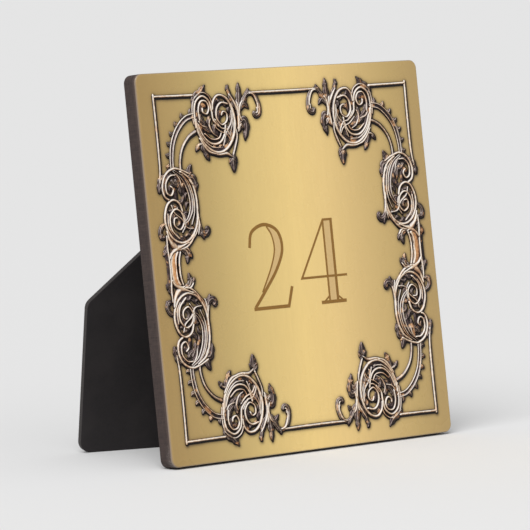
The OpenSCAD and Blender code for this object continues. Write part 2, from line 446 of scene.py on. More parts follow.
def printed_face(shadow_at):
    """The coating: a fine grid that carries the printed shadow, rolled over its rounded front edge."""
    half = panel_w / 2 - coating_ease
    radius = panel_corner - coating_ease
    count = FACE_CELLS + 1
    line = np.linspace(-half, half, count)
    x, z = np.meshgrid(line, line, indexing="ij")
    share = np.clip((np.maximum(abs(x), abs(z)) / half - BEND_FROM) / (1 - BEND_FROM), 0, 1)
    squeeze = 1 + (outline_reach(x, z, half, radius) - 1) * share * share * (3 - 2 * share)
    x, z = x * squeeze, z * squeeze
    middle = panel_w / 2
    points = np.stack([x, np.full_like(x, face_y), z + middle], -1).reshape(-1, 3)
    shadow = shadow_at(points[:, 0], points[:, 2])
    index = np.arange(count * count).reshape(count, count)
    quads = np.stack([index[:-1, :-1], index[1:, :-1], index[1:, 1:], index[:-1, 1:]], -1).reshape(-1, 4)
    rim = [*index[:-1, 0], *index[-1, :-1], *index[:0:-1, -1], *index[0, :0:-1]]
    faces = [tuple(q) for q in quads]
    points = [tuple(p) for p in points]
    # How far round the rolled edge each point lies; the edge colour it weights holds painted bounce light.
    wrap_and_bounce = [0.0] * len(points)
    rim_places = [(points[i][0], points[i][2] - middle) for i in rim]
    outward = [rim_normal(a, half, radius) for a in rim_places]
    turns = quarter_round(coating_ease)[1:] + [(0, coating_back)]
    previous = rim
    for inset, depth in turns:
        out = coating_ease - inset
        ring = list(range(len(points), len(points) + len(rim)))
        for (px, pz), (nx, nz) in zip(rim_places, outward):
            points.append((px + nx * out, face_y + depth, pz + nz * out + middle))
            wrap_and_bounce.append((out / coating_ease) ** 2)
        for i in range(len(rim)):
            j = (i + 1) % len(rim)
            faces.append((previous[i], ring[i], ring[j], previous[j]))
        previous = ring
    faces.append(tuple(previous))
    shadow = [*shadow, *[0.0] * (len(points) - len(shadow))]
    attributes = {"print_shadow": shadow, "wrap_and_bounce": wrap_and_bounce}
    piece = new_piece(
        "printed_face", to_world(points, PANEL), faces, gold_print(), "plaque", (), attributes
    )
    piece.data.set_sharp_from_angle(angle=rim_sharp)
    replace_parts(piece, "printed_coating")


def rim_normal(place, half, radius):
    """The outward direction of the rounded outline at a point on it."""
    inner = half - radius
    away = Vector((
        math.copysign(max(0.0, abs(place[0]) - inner), place[0]),
        math.copysign(max(0.0, abs(place[1]) - inner), place[1]),
    ))
    return away.normalized()


# ---------------- relief strands

# Cross-sections: a place across the strand from -1 to 1, a share of its height, and a share of its tone. Both
# sides dip under the face, so that a strand grows out of it.
ROD = [
    (-1, -0.2, 0), (-0.88, 0.36, 0.1), (-0.64, 0.72, 0.8), (-0.36, 0.95, 1), (0, 1, 1),
    (0.36, 0.95, 1), (0.64, 0.72, 0.5), (0.88, 0.36, 0), (1, -0.2, 0),
]
LINE = [
    (-1, -0.2, 0), (-0.86, 0.3, 0), (-0.56, 0.62, 0.3), (-0.28, 0.95, 1), (0, 1, 1),
    (0.28, 0.95, 1), (0.56, 0.62, 0.3), (0.86, 0.3, 0), (1, -0.2, 0),
]
BAND = [
    (-1, -0.2, 0), (-0.96, 0.45, 0.2), (-0.84, 0.9, 1), (-0.68, 1, 1), (-0.52, 0.8, 0.5), (-0.36, 0.34, 0),
    (0, 0.22, 0), (0.36, 0.34, 0), (0.52, 0.8, 0.5), (0.68, 1, 1), (0.84, 0.9, 1), (0.96, 0.45, 0.2),
    (1, -0.2, 0),
]
LEAF = [
    (-1, -0.2, 0), (-0.92, 0.5, 0.4), (-0.74, 0.66, 0.25), (-0.42, 0.45, 0), (-0.16, 0.82, 0.1), (0, 1, 0.8),
    (0.16, 0.82, 0.1), (0.42, 0.45, 0), (0.74, 0.66, 0.15), (0.92, 0.5, 0.2), (1, -0.2, 0),
]
FLAT = [(-1, -0.6, 1), (-0.94, 1, 1), (0.94, 1, 1), (1, -0.6, 1)]
# The ink outline: how far it reaches past its strand, its height, and how far it slips right and down
INK_RIM = 0.3
INK_HEIGHT = 0.06
INK_DROP = 0.2


def smooth_path(knots, step):
    """A Catmull-Rom curve through the knots, in equal steps, and its length."""
    knots = np.asarray(knots, float)
    padded = np.vstack([2 * knots[0] - knots[1], knots, 2 * knots[-1] - knots[-2]])
    t = np.linspace(0, 1, 14, endpoint=False)[:, None]
    pieces = []
    for a, b, c, d in zip(padded, padded[1:], padded[2:], padded[3:]):
        bend = (2 * a - 5 * b + 4 * c - d) * t ** 2 + (3 * b - a - 3 * c + d) * t ** 3
        pieces.append((2 * b + (c - a) * t + bend) / 2)
    fine = np.vstack([*pieces, knots[-1:]])
    gone = np.concatenate([[0], np.cumsum(np.linalg.norm(np.diff(fine, axis=0), axis=1))])
    places = np.linspace(0, gone[-1], max(6, int(gone[-1] / step) + 1))
    return np.stack([np.interp(places, gone, fine[:, k]) for k in (0, 1)], -1), gone[-1]


def stations(values, t):
    """Values given at evenly spaced stations, blended smoothly to the places t."""
    values = np.atleast_1d(np.asarray(values, float))
    if len(values) == 1:
        return np.full_like(t, values[0])
    place = t * (len(values) - 1)
    low = np.minimum(place.astype(int), len(values) - 2)
    share = place - low
    share = share * share * (3 - 2 * share)
    return values[low] * (1 - share) + values[low + 1] * share


def direction(heading):
    """The unit step towards a heading in degrees: 0 to the right and 90 down the face."""
    return np.array([math.cos(math.radians(heading)), math.sin(math.radians(heading))])


class Relief:
    """Strands in millimetres from a panel's upper left corner, to the right, down, and out of the face."""

    def __init__(self, step=0.42):
        self.step = step
        self.points = []
        self.faces = []
        self.caps = []
        self.tone = []
        self.dropped = []
        self.stamps = []

    def skin(self, path, half, crest, section, tone, across=None, dropped=False, cut=False):
        """A skin along a path: half is half its width, and crest its height, at each point of the path.

        Both ends are closed, but a cut skin's last end is open: its mirror image goes on from there. A
        dropped skin lies a little to the right and down, whichever way the piece is mirrored.
        """
        place, share, shine = np.array(section).T
        if across is None:
            along = np.gradient(path, axis=0)
            along /= np.maximum(np.linalg.norm(along, axis=1, keepdims=True), 1e-9)
            across = np.stack([-along[:, 1], along[:, 0]], -1)
        flat = path[:, None] + across[:, None] * (half[:, None] * place)[..., None]
        out = np.where(share < 0, share * 0.3, crest[:, None] * share)
        grid = np.concatenate([flat, np.broadcast_to(out, flat.shape[:2])[..., None]], -1)
        ring = len(section)
        first = len(self.points)
        self.points.extend(grid.reshape(-1, 3))
        self.tone.extend((tone[:, None] * shine).reshape(-1))
        self.dropped.extend([float(dropped)] * (len(path) * ring))
        for r in range(len(path) - 1):
            for k in range(ring):
                a = first + r * ring
                b = a + ring
                self.faces.append((a + k, a + (k + 1) % ring, b + (k + 1) % ring, b + k))
        self.caps.append(len(self.faces))
        self.faces.append(tuple(range(first + ring - 1, first - 1, -1)))
        if not cut:
            last = first + (len(path) - 1) * ring
            self.caps.append(len(self.faces))
            self.faces.append(tuple(range(last, last + ring)))

    def strand(self, knots, width, height=0.42, section=LINE, tone=1.0, lobes=0, inked=True, cut=False):
        """One strand along a curve through the knots, with its ink outline. lobes scallops its sides.

        Its ends are rounded, but a cut strand ends square, where it meets its own mirror image.
        """
        path, length = smooth_path(knots, self.step * (0.6 if lobes else 1))
        t = np.linspace(0, 1, len(path))
        half = stations(width, t) / 2
        if inked:
            reach = (t if cut else np.minimum(t, 1 - t)) * length / np.maximum(half, 0.05)
            half = half * np.sqrt(np.clip(1 - (1 - np.clip(reach, 0, 1)) ** 2, 0.03, 1))
        if lobes:
            half = half * (0.62 + 0.38 * np.abs(np.sin(math.pi * (lobes * t ** 0.85 + 0.15))))
        crest = stations(height, t) * np.clip(half / 0.4, 0.35, 1)
        self.skin(path, half, crest, section, stations(tone, t), cut=cut)
        if inked:
            low, black = np.full_like(t, INK_HEIGHT), np.full_like(t, -1)
            self.skin(path, half + INK_RIM, low, FLAT, black, dropped=True, cut=cut)
            self.stamps.extend(np.column_stack([path, half + INK_RIM]))

    def rod(self, knots, width, height=0.5, tone=1.0, cut=False):
        """A strand with a plain round section."""
        self.strand(knots, width, height, ROD, tone, cut=cut)

    def ribbon(self, knots, width, height):
        """A flat stroke from knot to knot, with mitred corners."""
        path = np.asarray(knots, float)
        steps = np.diff(path, axis=0)
        steps /= np.linalg.norm(steps, axis=1, keepdims=True)
        sides = np.stack([-steps[:, 1], steps[:, 0]], -1)
        before, after = np.vstack([sides[:1], sides]), np.vstack([sides, sides[-1:]])
        across = (before + after) / (1 + np.sum(before * after, axis=1, keepdims=True))
        full = np.ones(len(path))
        self.skin(path, full * width / 2, full * height, FLAT, full, across)

    def shade(self, knots, width):
        """A low dark leaf that fills part of a gap between strands."""
        self.strand(knots, width, 0.2, LEAF, 0.12)

    def leaf(self, knots, width, height=0.4, lobes=3, tone=(1, 0.7, 0.3)):
        """A veined leaf from its root to its tip, with scalloped sides."""
        self.strand(knots, (width * 0.5, width, width * 0.8, 0.4), height, LEAF, tone, lobes)

    def sprig(self, root, heading, size, turn=0.0, tone=(0.9, 0.4, 0.1)):
        """A leaf end of three lobes, towards a heading; turn bends them all to one side, in degrees."""
        root = np.array(root, float)
        for spread, share in ((-58, 0.55), (58, 0.5), (0, 1.0)):
            near = direction(heading + spread * 0.6)
            far = direction(heading + spread + turn)
            length = size * share
            knots = [root, root + near * length * 0.5, root + near * length * 0.5 + far * length * 0.5]
            self.strand(knots, (0.34 * size, 0.54 * size * (0.6 + 0.4 * share), 0.16 * size), 0.4, LEAF, tone)

    def fringe(self, knots, side, count, length, width=1.1, start=0.1, end=0.9, tone=(0.8, 0.4, 0.1)):
        """Small curved leaves in a row along one side of a curve: side is 1 or -1."""
        path, _ = smooth_path(knots, 0.3)
        for k in range(count):
            i = int((start + (end - start) * k / max(1, count - 1)) * (len(path) - 2))
            heading = math.degrees(math.atan2(*(path[i + 1] - path[i])[::-1]))
            root = path[i]
            mid = root + direction(heading + side * 66) * length * 0.6
            tip = mid + direction(heading + side * 10) * length * 0.8
            self.strand([root, mid, tip], (width * 0.7, width, 0.2), 0.34, LEAF, tone)

    def placed(self, flip_u, flip_v):
        """Points in metres in the panel's frame, and faces, mirrored across its middles where asked."""
        size = panel_w / MM
        points = np.array(self.points)
        drop = INK_DROP * np.array(self.dropped)
        u = (size - points[:, 0] if flip_u else points[:, 0]) + drop
        v = (size - points[:, 1] if flip_v else points[:, 1]) + drop
        placed = np.stack([(u - size / 2) * MM, face_y - points[:, 2] * MM, (size - v) * MM], -1)
        faces = self.faces if flip_u == flip_v else [tuple(reversed(f)) for f in self.faces]
        return placed, faces

    def piece(self, name, material, slot, flip_u=False, flip_v=False, smooth=True):
        """The strands as one piece on the panel, mirrored where asked."""
        points, faces = self.placed(flip_u, flip_v)
        flat = self.caps if smooth else range(len(faces))
        tone = {"tone": self.tone}
        return new_piece(name, to_world(points, PANEL), faces, material, "plaque", flat, tone)


# ---------------- scrollwork of one quarter

def rules(art):
    """The thin frame lines between the clusters."""
    middle = panel_w / MM / 2
    art.rod([(6.7, 8.1), (15, 8.2), (25.4, 8.3)], (1.1, 1.1, 1.2), 0.4)
    art.rod([(7, 7), (7.15, 20), (7, 32), (6.2, 38)], (1.1, 1.1, 1.1, 0.8), 0.4)
    art.rod([(50.5, 8.4), (60, 8.5), (middle, 8.5)], (0.9, 1.2, 1.2), 0.4, cut=True)


def corner_arcs(art):
    """The thorny arc and the plain arc that join the two clusters round the corner."""
    thorny = [(25.6, 15), (20.8, 16), (16.6, 19.4), (13.8, 24), (12.6, 29), (12.4, 33.4)]
    art.strand(thorny, (2, 2.1, 1.9, 1.6), 0.42, BAND)
    path, _ = smooth_path(thorny, 0.3)
    for k in range(7):
        i = int((0.08 + 0.14 * k) * (len(path) - 1))
        heading = math.degrees(math.atan2(*(path[i] - path[i + 1])[::-1]))
        root = path[i] + direction(heading + 246) * 0.6
        bend = root + direction(heading + 246) * 1.2
        art.strand([root, bend, bend + direction(heading + 292) * 1.2], (2.6, 1.5, 0.2), 0.38, LEAF,
                   (1, 0.8))
    art.strand([(25.4, 20.4), (21.3, 22.4), (18, 26), (16.5, 30), (16.2, 33.8)], (1.5, 1.1, 1.1), 0.4, LINE,
               (0.6, 1, 0.7))


def small_scroll(art):
    """The scroll that hangs from the upper rule."""
    art.leaf([(24.2, 10.2), (27.2, 8.2), (29, 6.8), (30.8, 4.7)], 3.4, 0.4, 3, (0.9, 0.5, 0.2))
    art.sprig((25.4, 10), 118, 2.6, -20)
    art.rod([(25.2, 20), (24.9, 15), (25.8, 10.8), (29, 8.8), (32, 10.6), (32.9, 14), (33.4, 17.2),
             (36, 19.8)], (1, 1.1, 1.1, 1), 0.46)
    art.rod([(27.1, 17.6), (26.8, 13.4), (28.2, 10.6), (30.6, 10.7), (31.7, 12.8), (30.6, 14.9),
             (28.9, 14.3), (28.7, 12.6)], (0.8, 0.95, 1))
    art.leaf([(27.2, 14.8), (27.9, 17), (30.1, 18.8)], 2.3, 0.34, 3)
    art.leaf([(31.4, 15.6), (31, 18), (32.2, 20.6)], 1.9, 0.34, 3, (0.8, 0.3))
    art.leaf([(28.6, 18.4), (30.4, 20.4), (33, 21.4)], 1.7, 0.3, 3, (0.8, 0.3))
    art.shade([(28, 14.4), (28.6, 11.8), (30.8, 12.4)], (1, 2, 1))
    art.strand([(24.4, 18.6), (24, 13.8), (25.2, 9.6), (28.8, 7.5), (32.2, 8.8), (33.8, 12)],
               (0.7, 0.8, 0.6), 0.4, tone=(1.6, 0.8, 1.8))
    art.strand([(32, 16.4), (31.2, 18.8), (32.6, 21.6), (35, 23)], (0.6, 0.9, 0.6), 0.42, tone=(1.8, 0.8))
    art.shade([(27.4, 16.2), (29.4, 19.4), (32.2, 21.4)], (1, 2.4, 1))
    art.shade([(25.4, 12.4), (24.8, 10), (27.4, 7.6), (30, 6.4)], (1, 2.4, 1.2))


def large_ring(art):
    """The ring below the small scroll, its inner arcs, and the curl that fills it."""
    ring = [(25.2, 16), (25.9, 21), (28.8, 25.6), (33.2, 28.2), (37.8, 27.6), (41.6, 23.8), (43.2, 18.4),
            (42.2, 13), (39.6, 9.6), (36.2, 8.8), (33.9, 10.8), (33.2, 14)]
    art.rod(ring, (1.1, 1.3, 1.4, 1.4, 1))
    art.strand([(25.6, 17.4), (27.2, 22.4), (31.4, 26.2), (36, 26.6)], (0.8, 1, 0.6), 0.42)
    art.rod([(26, 18), (28.2, 22.6), (31.6, 25.2), (35.4, 25), (37.8, 22.4), (38.8, 18.6)], (0.9, 1.1, 1),
            0.46)
    art.strand([(26.4, 17), (27.8, 18.8), (30.6, 19.6)], (0.8, 0.9, 0.6), 0.42)
    art.strand([(28.6, 21.4), (31.8, 23.6), (35.2, 23.4), (36.8, 21)], (0.7, 0.8, 0.6), 0.4, tone=1.6)
    art.strand([(33, 18.6), (35.8, 21), (39, 22.4), (41, 25.4)], (0.6, 0.8, 0.6), 0.44, tone=(1, 1.8))
    art.strand([(40.6, 10.8), (42.2, 14.4), (41.8, 19), (40.2, 22.8)], (0.6, 0.8, 0.6), 0.4, tone=(1, 0.6))
    art.strand([(37, 27.6), (40.6, 25.2), (42.4, 20.6), (42, 16.6)], (0.6, 0.9, 0.7), 0.44)
    art.rod([(41, 12), (37.4, 11.4), (35.2, 13.4), (34.9, 16.6), (37, 18.9), (39.4, 17.7), (39.6, 15.2),
             (37.9, 14.4), (37, 16)], (1.1, 1.1, 0.9, 0.8), 0.52)
    art.strand([(33.8, 16.6), (36.4, 19.9), (38.9, 20.6), (40.8, 23.6), (40.6, 26)], (0.8, 1, 0.7), 0.46)
    art.strand([(41.8, 14), (41.4, 18.2), (38.7, 21.8), (36.8, 26.4)], (0.7, 0.9, 0.7), 0.42)
    art.fringe([(34.4, 10.8), (37, 10), (40, 11.4), (41.9, 15), (41.8, 20), (39.8, 24)], 1, 6, 1.9)
    art.fringe([(28, 24), (32, 27), (36.6, 26.8), (39.6, 24.4)], -1, 4, 1.7)
    art.leaf([(34.8, 18), (33.2, 20.4), (33.8, 22.8)], 1.8, 0.32, 3)
    art.shade([(27.4, 23.4), (30.8, 27), (35.4, 28), (40, 25.4)], (1.2, 2.6, 2.6, 1.2))
    art.shade([(26.2, 13.4), (26.4, 18), (28.6, 22.6)], (1, 2, 1))
    art.shade([(34, 15), (34.2, 11.6), (36.4, 9.8)], (1, 2.2, 1.2))
    art.shade([(40.2, 13.4), (42.4, 15.6), (42.6, 20.4)], (1.4, 2.8, 1))
    art.shade([(39.4, 19.4), (40.4, 22), (40, 25)], (0.8, 2, 0.8))
    art.shade([(31.4, 18.6), (33.4, 21.2), (35.4, 21.8)], (0.8, 2.2, 1.2))
    art.shade([(35.8, 17.4), (36.4, 14.8), (38.6, 15.2)], (0.9, 1.9, 0.8))
    art.leaf([(39.8, 19.6), (41, 21.6), (40, 24.6)], 1.6, 0.32, 3, (0.8, 0.3))


def crown(art):
    """The spray of leaves right of the ring, and the hook that joins it to the rule."""
    for tip_u, tip_v, bend, width in ((40.7, 5.2, -0.7, 2.5), (46.2, 4.6, 0.3, 3.2), (50.4, 6.9, 0.7, 2.6)):
        middle = ((45.2 + tip_u) / 2 + bend, (14 + tip_v) / 2)
        art.leaf([(45.2, 14.6), middle, (tip_u, tip_v)], width, 0.5, 4, (1, 0.8, 0.25))
    art.sprig((40.9, 7.2), -84, 2.2, 25)
    art.sprig((46, 7.4), -88, 2.6, 4)
    art.leaf([(46.2, 14), (48, 11.9), (50.2, 13.9)], 2.3, 0.42, 3, (1, 0.3))
    for start, end in (((41.2, 8.2), (44.4, 22)), ((44.6, 11), (45, 19))):
        art.rod([start, ((start[0] + 45) / 2 + 0.2, (start[1] + 14) / 2), (45.2, 15.2), end],
                (0.7, 1.7, 0.7), 0.56)
    art.rod([(47.6, 10.8), (46.2, 12.4), (45.5, 15.4), (46.4, 18.4)], (0.7, 1.5, 0.7), 0.6)
    art.strand([(46.6, 12.4), (48.6, 9.8), (51.2, 8.4), (53.7, 9.8), (55, 12.8), (54.8, 15.6), (53, 16.4),
                (52.2, 14.8)], (1.2, 1.4, 1.5, 1.6), 0.5, LEAF)
    art.rod([(50.4, 8.5), (52.8, 9.2), (54.3, 12.2), (54.4, 14.6)], (0.8, 1.2, 0.8), 0.56)
    art.sprig((50.2, 8.6), -70, 2, -20)
    art.strand([(53.9, 13.4), (54.1, 15.2), (53, 15.5)], (0.7, 1, 0.8), 0.5)
    art.leaf([(44.8, 19), (47.4, 17.6), (48.4, 20), (47.1, 24.8)], 3, 0.46, 4, (1, 0.4, 0.1))
    art.leaf([(44.6, 21.6), (45.6, 19.4), (47.2, 21)], 2.2, 0.52, 2, 1.8)
    art.sprig((47.6, 21.6), 98, 2.9, 10)
    art.strand([(44.4, 21.6), (45.6, 19.2), (46.9, 19.4)], (0.6, 0.9, 0.5), 0.5)


def ring_tails(art):
    """The leaf ends below the ring."""
    art.rod([(30.2, 28), (34.4, 29), (38.2, 28.9), (40.8, 30.4)], (0.8, 1.3, 1.5, 0.8), 0.46, (1, 1, 0.6))
    art.rod([(26, 22.8), (28.2, 26), (30.4, 28), (33.6, 28.9)], (0.8, 1.3, 1))
    art.strand([(43.2, 19.4), (43.6, 23), (42.4, 26.4), (40.8, 29.8)], (0.6, 0.9, 1.1, 0.9), 0.42)
    art.sprig((40.4, 30.4), 84, 5, 8, (1, 0.4, 0.05))
    art.sprig((40.6, 29.8), 30, 2.5, 20)
    art.leaf([(27, 24), (27.8, 27.2), (29.4, 30.2)], 2.4, 0.42, 3, (1, 0.6, 0.1))
    art.sprig((28.4, 28.4), 62, 2.8, -10)
    art.strand([(27.6, 25), (25.8, 25.3), (24.5, 26.6)], (0.9, 1.3, 0.9), 0.4, tone=(1, 0.3))
    art.sprig((25.4, 25.6), 132, 2.4, -10)


def side_upper_scroll(art):
    """The scroll at the head of the side cluster."""
    art.rod([(20.8, 35.4), (17, 33.7), (12.8, 32.8), (9, 34.8), (7.3, 38.6), (7.9, 42), (10.2, 43.6)],
            (1, 1.2, 1.2, 1.1), 0.46)
    art.rod([(13.9, 35), (11, 35.2), (8.9, 37.6), (9, 40.8), (10.9, 41.8), (12, 39.8), (10.6, 38.4)],
            (0.8, 0.9, 1, 0.8))
    art.leaf([(11.4, 36.4), (12.8, 38), (14.6, 38.6)], 2.2, 0.34, 3)
    art.shade([(8.4, 41.6), (8.2, 37.4), (11, 34.4)], (1, 1.8, 1))
    art.shade([(13.4, 35.4), (15.6, 37.8), (17.2, 42)], (1, 2.2, 1.2))
    art.shade([(10.2, 40.4), (11, 38.6), (12.6, 40.6), (13, 43.6)], (0.9, 1.8, 1.2))
    art.leaf([(13.2, 36.4), (14.8, 39), (15.3, 42)], 2, 0.34, 3)
    art.fringe([(8.8, 36), (11.4, 34.2), (14.6, 34.4)], 1, 3, 1.6)
    art.leaf([(8.4, 34.6), (6.4, 37), (5.1, 40.6)], 2.6, 0.4, 3, (0.8, 0.3))
    art.sprig((6.2, 38.6), 110, 2.4, -10)


def side_band(art):
    """The broad band down the side cluster, with the leaves on its outer side."""
    art.strand([(12.6, 33.4), (16.6, 36.2), (19, 41), (19.4, 46.2), (17.6, 50), (15.2, 51.6)],
               (1, 1.7, 1.7, 1), 0.5, BAND)
    art.strand([(13.2, 34.2), (15.2, 36.4), (16, 39.6)], (0.7, 0.9, 0.5), 0.42)
    outer = [(15.4, 33.6), (19.8, 36.6), (21.8, 41.4), (22.1, 47), (21.2, 52.4), (18.2, 56.6), (14.2, 58.1),
             (10.4, 56.8), (7.8, 53.4), (7.1, 49.2), (8.6, 45), (11.4, 43.4), (14.2, 44.8), (15.4, 48)]
    art.rod(outer, (1.1, 1.3, 1.3, 1.2, 1.1))
    art.shade([(18.2, 37), (20.6, 42.4), (20.8, 48.4)], (1.2, 2, 1))
    art.strand([(16.4, 34.6), (19.4, 38.2), (20.8, 43), (20.6, 48), (18.8, 52.4)], (0.6, 0.8, 0.6), 0.44,
               tone=(1.8, 0.8))
    art.strand([(12.4, 58.9), (17, 58.2), (20.6, 55), (22.2, 51)], (0.6, 0.9, 0.6), 0.46, tone=(1, 1.6))
    art.fringe([(16.6, 36.6), (18.4, 41), (18.5, 46), (17, 49.6)], 1, 4, 2.4)
    art.leaf([(12.8, 43.8), (15.2, 44.2), (16.6, 41.8)], 2, 0.32, 3, (0.8, 0.2))
    art.sprig((19.6, 35.2), -74, 4, 12)
    art.leaf([(18.8, 36), (21.6, 36.6), (22.9, 40.6)], 2.9, 0.46, 3, (1, 0.6, 0.2))
    art.sprig((21.6, 39.6), -20, 2.4, -35)
    art.strand([(19.2, 36.2), (20.6, 38.4), (22.4, 40)], (0.6, 0.9, 0.5), 0.52)


def side_ring(art):
    """The curl in the lower ring of the side cluster, and the leaf ends round it."""
    art.rod([(13.2, 57), (9.8, 53.6), (9.4, 49.4), (11.8, 46.6), (14.6, 47.8), (15.5, 51), (13.6, 53.5),
             (11.2, 52.2), (11.3, 49.7), (13.2, 49.6)], (0.9, 1, 0.9, 0.8))
    art.strand([(10.4, 44.8), (11.6, 47.8), (14.8, 50.2), (16.6, 53), (20, 53.6)], (0.7, 1, 0.7), 0.46)
    art.strand([(8.6, 47.6), (8.5, 52.2), (10.4, 55.6)], (0.7, 0.9, 0.6), 0.42, tone=1.6)
    art.strand([(12.6, 46), (15.6, 48.6), (16, 52), (14.2, 54.8)], (0.6, 0.8, 0.6), 0.44)
    art.fringe([(8.4, 50), (9.2, 46.6), (12, 44.8), (14.4, 46.6)], 1, 4, 1.7)
    art.fringe([(20.6, 52.4), (18, 56), (14, 57.4), (10.6, 56.2)], 1, 4, 2.4)
    art.leaf([(12.4, 48.8), (13.6, 51), (12.4, 52.4)], 1.5, 0.32, 2)
    art.shade([(8.4, 46.6), (8.4, 51.6), (11.4, 56.2), (16, 57)], (1, 1.4, 1.8, 1))
    art.shade([(16.6, 48), (17, 51), (15.6, 53.6)], (0.8, 1.8, 0.8))
    art.shade([(10.8, 51.8), (11.6, 48.6), (14, 49.8)], (0.9, 1.7, 0.8))
    art.strand([(22, 47.6), (22.2, 51.6), (23, 54.6), (25, 55.5), (26.1, 54.2), (25, 53.3)],
               (1, 1.4, 2.2, 1.8), 0.46, LEAF, (1, 0.6, 0.3))
    art.rod([(21.9, 46), (22.1, 50.4), (23, 53.8)], (0.7, 1.2, 0.6), 0.56)
    art.sprig((22.8, 54.6), 62, 3, 15)
    art.strand([(21.4, 56), (22.2, 52), (22.1, 47)], (0.6, 1.2, 0.6), 0.54)
    art.strand([(7.3, 51.2), (5.4, 51.9), (4.3, 53.8), (5, 55.7), (6.6, 55.4)], (0.9, 1.6, 1.8, 1.2), 0.42,
               LEAF, (1, 0.5))
    art.sprig((5, 54.4), 118, 2.2)


def calyx(art):
    """The half of the leaf sheath that joins a side cluster to its mirror image below."""
    end = panel_w / MM / 2
    art.shade([(8.6, 55.4), (12, 58.4), (17, 58.2)], (1.2, 2.2, 1.2))
    art.strand([(7.6, 57), (6.4, 60), (6.6, 64), (6.6, end)], (1.2, 1.8, 1.6), 0.2, LEAF, 0.12, cut=True)
    art.rod([(11.8, 59.8), (9.8, 62), (9, 64.6), (9, end)], (1.6, 3.2, 3.4), 0.36, (1.8, 2, 2), cut=True)
    art.rod([(12.6, 60.6), (11.8, 63), (11.5, 65), (11.5, end)], (0.9, 1, 0.8), cut=True)
    art.rod([(11.4, 60.6), (10.2, 62.8), (9.9, 65), (9.9, end)], (1.6, 1.1, 0.6), 0.56, (1, 1.2, 1.6),
            cut=True)
    art.rod([(7.2, 53.4), (8.2, 56.8), (10.4, 59.2), (13.2, 60.8)], (0.9, 1.4, 2.6, 0.8), 0.6)
    art.rod([(17, 57.8), (14, 59), (11, 60), (8.6, 61.4), (7.2, 63.4)], (0.8, 1.1, 2.6, 1.5, 0.8), 0.62)
    art.rod([(7, 55), (6.8, 59), (7.1, 62.4), (7.2, 65), (7.2, end)], (0.7, 1, 0.9), 0.54, cut=True)
    art.rod([(19.8, 55), (18, 57.8), (15.4, 59.6), (12.4, 60.2)], (0.7, 1, 1.1, 0.8), 0.56)
    art.leaf([(13, 60.2), (15.2, 60.8), (16.4, 63.4)], 3.2, 0.46, 2, (1.6, 1.9, 0.4))
    art.rod([(13.4, 60), (15.6, 60), (17.2, 61.8)], (0.8, 1.1, 0.6), 0.56)
    art.sprig((16.2, 61.4), 44, 2.6, 25)
    art.sprig((15.6, 62.4), 96, 2.8, 10)
    art.leaf([(7.4, 58), (6.2, 60), (4.6, 61.9)], 2.4, 0.42, 3, (0.9, 0.2))
    art.sprig((6.8, 60.2), 140, 2.6, -10)


def quarter_art():
    """All the scrollwork of the upper left quarter."""
    art = Relief()
    for draw in (rules, corner_arcs, small_scroll, large_ring, crown, ring_tails, side_upper_scroll,
                 side_band, side_ring, calyx):
        draw(art)
    return art


def shadow_map(stamps):
    """The printed shadow beside and under the strands: a function of places on the face, in metres."""
    cell = 0.2
    # How far the shadow slips right and down, how soft and strong it is, and the same for the halo all round
    drop, soft, strength = 0.5, 0.42, 0.9
    halo, halo_strength = 1.0, 0.28
    size = panel_w / MM
    count = int(size / cell) + 2
    mask = np.zeros((count, count))
    for u, v, half in stamps:
        for far_u in (u, size - u):
            for far_v in (v, size - v):
                stamp(mask, far_u / cell, far_v / cell, half / cell)
    fallen = blur(np.roll(mask, (round(drop / cell), round(drop / cell)), (0, 1)), soft / cell)
    whole = np.clip(fallen * strength + blur(mask, halo / cell) * halo_strength, 0, 1)

    def at(x, z):
        u = np.clip((x / MM + size / 2) / cell, 0, count - 2)
        v = np.clip((size - z / MM) / cell, 0, count - 2)
        i, j = u.astype(int), v.astype(int)
        a, b = u - i, v - j
        upper = whole[i, j] * (1 - a) + whole[i + 1, j] * a
        lower = whole[i, j + 1] * (1 - a) + whole[i + 1, j + 1] * a
        return upper * (1 - b) + lower * b

    return at


def stamp(mask, u, v, radius):
    """Fills a disc of the mask."""
    low_u, low_v = int(u - radius), int(v - radius)
    high_u, high_v = int(u + radius) + 2, int(v + radius) + 2
    i, j = np.ogrid[low_u:high_u, low_v:high_v]
    mask[low_u:high_u, low_v:high_v][(i - u) ** 2 + (j - v) ** 2 <= radius * radius] = 1


def blur(mask, sigma):
    """A Gaussian blur, one axis after the other."""
    reach = int(3 * sigma) + 1
    weights = np.exp(-0.5 * (np.arange(-reach, reach + 1) / sigma) ** 2)
    weights /= weights.sum()
    out = mask
    for axis in (0, 1):
        out = sum(w * np.roll(out, k - reach, axis) for k, w in enumerate(weights))
    return out


# ---------------- the number

# Height and widths of the figures, and the gap between them, before they are enlarged
figure_h = 12.5
two_w = 8
four_w = 9.4
figure_gap = 2.2
figure_scale = 2.3
# How far down the face the figures' middle lies
figures_v = 68.5
# Widths of the strokes, and the lowest stroke's height over the face, which the inlay stays under
ink_thick = 1.25
ink_thin = 0.85
ink_fine = 0.65
stroke_h = 0.05
inlay_h = 0.03


